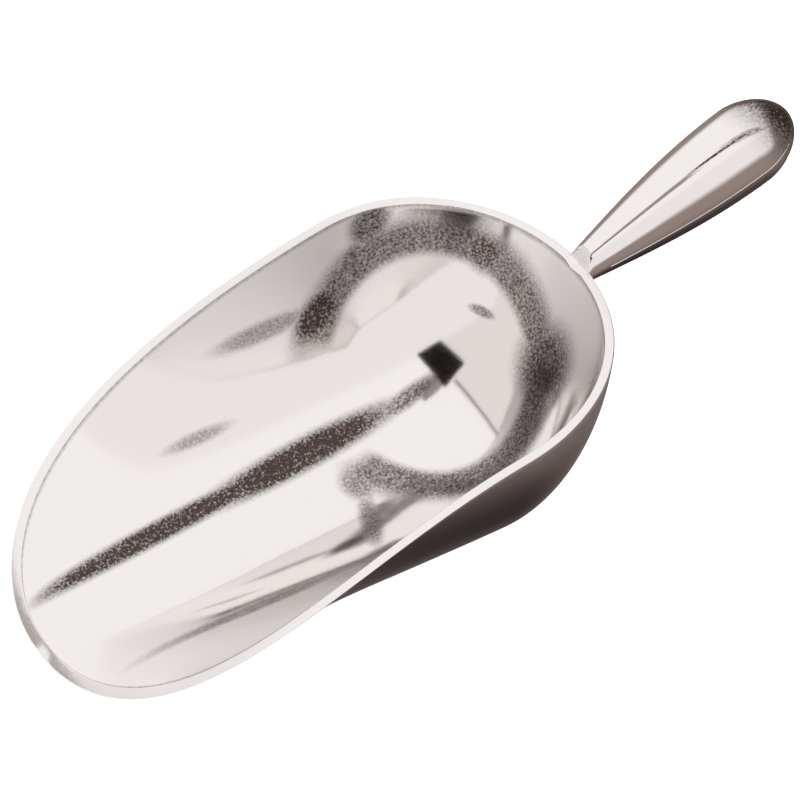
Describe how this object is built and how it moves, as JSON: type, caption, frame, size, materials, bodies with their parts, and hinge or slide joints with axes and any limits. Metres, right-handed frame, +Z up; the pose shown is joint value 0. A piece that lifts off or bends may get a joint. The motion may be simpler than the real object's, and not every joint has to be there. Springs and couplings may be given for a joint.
{
  "type": "ice scoop",
  "caption": "Round-bottomed cast aluminium ice scoop: deep trough with a domed back, falling ground rim and a pear-shaped hollow handle rising from the back.",
  "frame": {"origin": "on the resting flat under the trough, on the centre line, at the section where the trough meets the domed back", "axes": "+X along the scoop towards the handle, +Y across it, +Z up, with the trough's bottom line level"},
  "size_m": [0.3171, 0.1434, 0.1169],
  "materials": {
    "bowl_aluminium": "sand cast and tumble polished, with fine open pits; rim ground bright",
    "handle_aluminium": "cast in two halves, joined along the sides and polished",
    "screw_steel": "plain turned stainless steel"
  },
  "bodies": {
    "root": {"bowl": "bowl_aluminium", "handle_upper_half": "handle_aluminium", "handle_lower_half": "handle_aluminium", "handle_screw": "screw_steel"}
  },
  "joints": []
}
